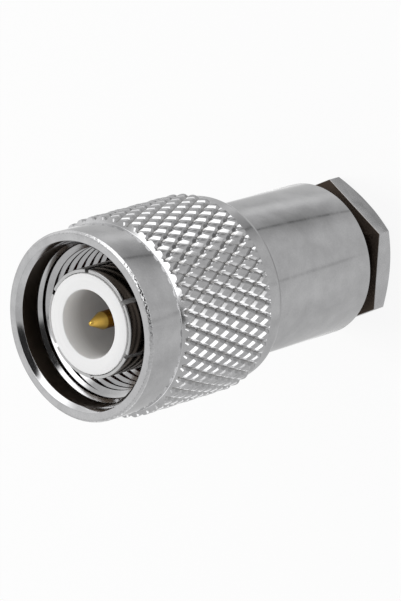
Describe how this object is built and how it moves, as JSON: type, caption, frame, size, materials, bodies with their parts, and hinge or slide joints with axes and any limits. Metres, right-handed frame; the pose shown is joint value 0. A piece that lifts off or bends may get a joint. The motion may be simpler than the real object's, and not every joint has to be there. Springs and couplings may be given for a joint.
{
  "type": "tnc coaxial cable plug",
  "caption": "Straight threaded coaxial plug with a knurled coupling nut, slotted sleeve, centre pin and a hexagonal clamp nut for thin cable.",
  "frame": {"origin": "centre of the clamp nut's rear face, on which the plug stands", "axes": "+Z along the plug's axis towards its mating face; +X through one flat of the clamp nut's hexagon"},
  "size_m": [0.0154, 0.0154, 0.0299],
  "materials": {
    "nickel_plate": "turned brass, nickel plated, satin bright",
    "contact_nickel": "nickel plated spring bronze",
    "gold_plate": "gold plated brass, bright",
    "ptfe": "turned white PTFE, waxy",
    "spring_bronze": "drawn phosphor bronze",
    "silicone": "moulded silicone, matte"
  },
  "bodies": {
    "plug": {"plug_body": "nickel_plate", "outer_contact": "contact_nickel", "front_insulator": "ptfe", "rear_insulator": "ptfe", "centre_contact": "gold_plate", "retaining_ring": "spring_bronze", "front_gasket": "silicone"},
    "nut": {"coupling_nut": "nickel_plate"},
    "clamp_stack": {"slip_washer": "nickel_plate", "cable_gasket": "silicone", "braid_clamp": "nickel_plate"},
    "clamp": {"clamp_nut": "nickel_plate"}
  },
  "joints": [
    {"name": "coupling_turn", "type": "hinge", "parent": "plug", "child": "nut", "pos_m": [0, 0, 0.0225], "axis": [0, 0, 1], "continuous": true},
    {"name": "clamp_travel", "type": "slide", "parent": "plug", "child": "clamp_stack", "axis": [0, 0, 1], "range_m": [-0.00225, 0.0015]},
    {"name": "clamp_turn", "type": "hinge", "parent": "clamp_stack", "child": "clamp", "pos_m": [0, 0, 0.003], "axis": [0, 0, 1], "range_deg": [-1084, 723]}
  ],
  "couplings": [
    {"joint": "clamp_turn", "follows": "clamp_travel", "rad_per_m": 8377.6}
  ]
}
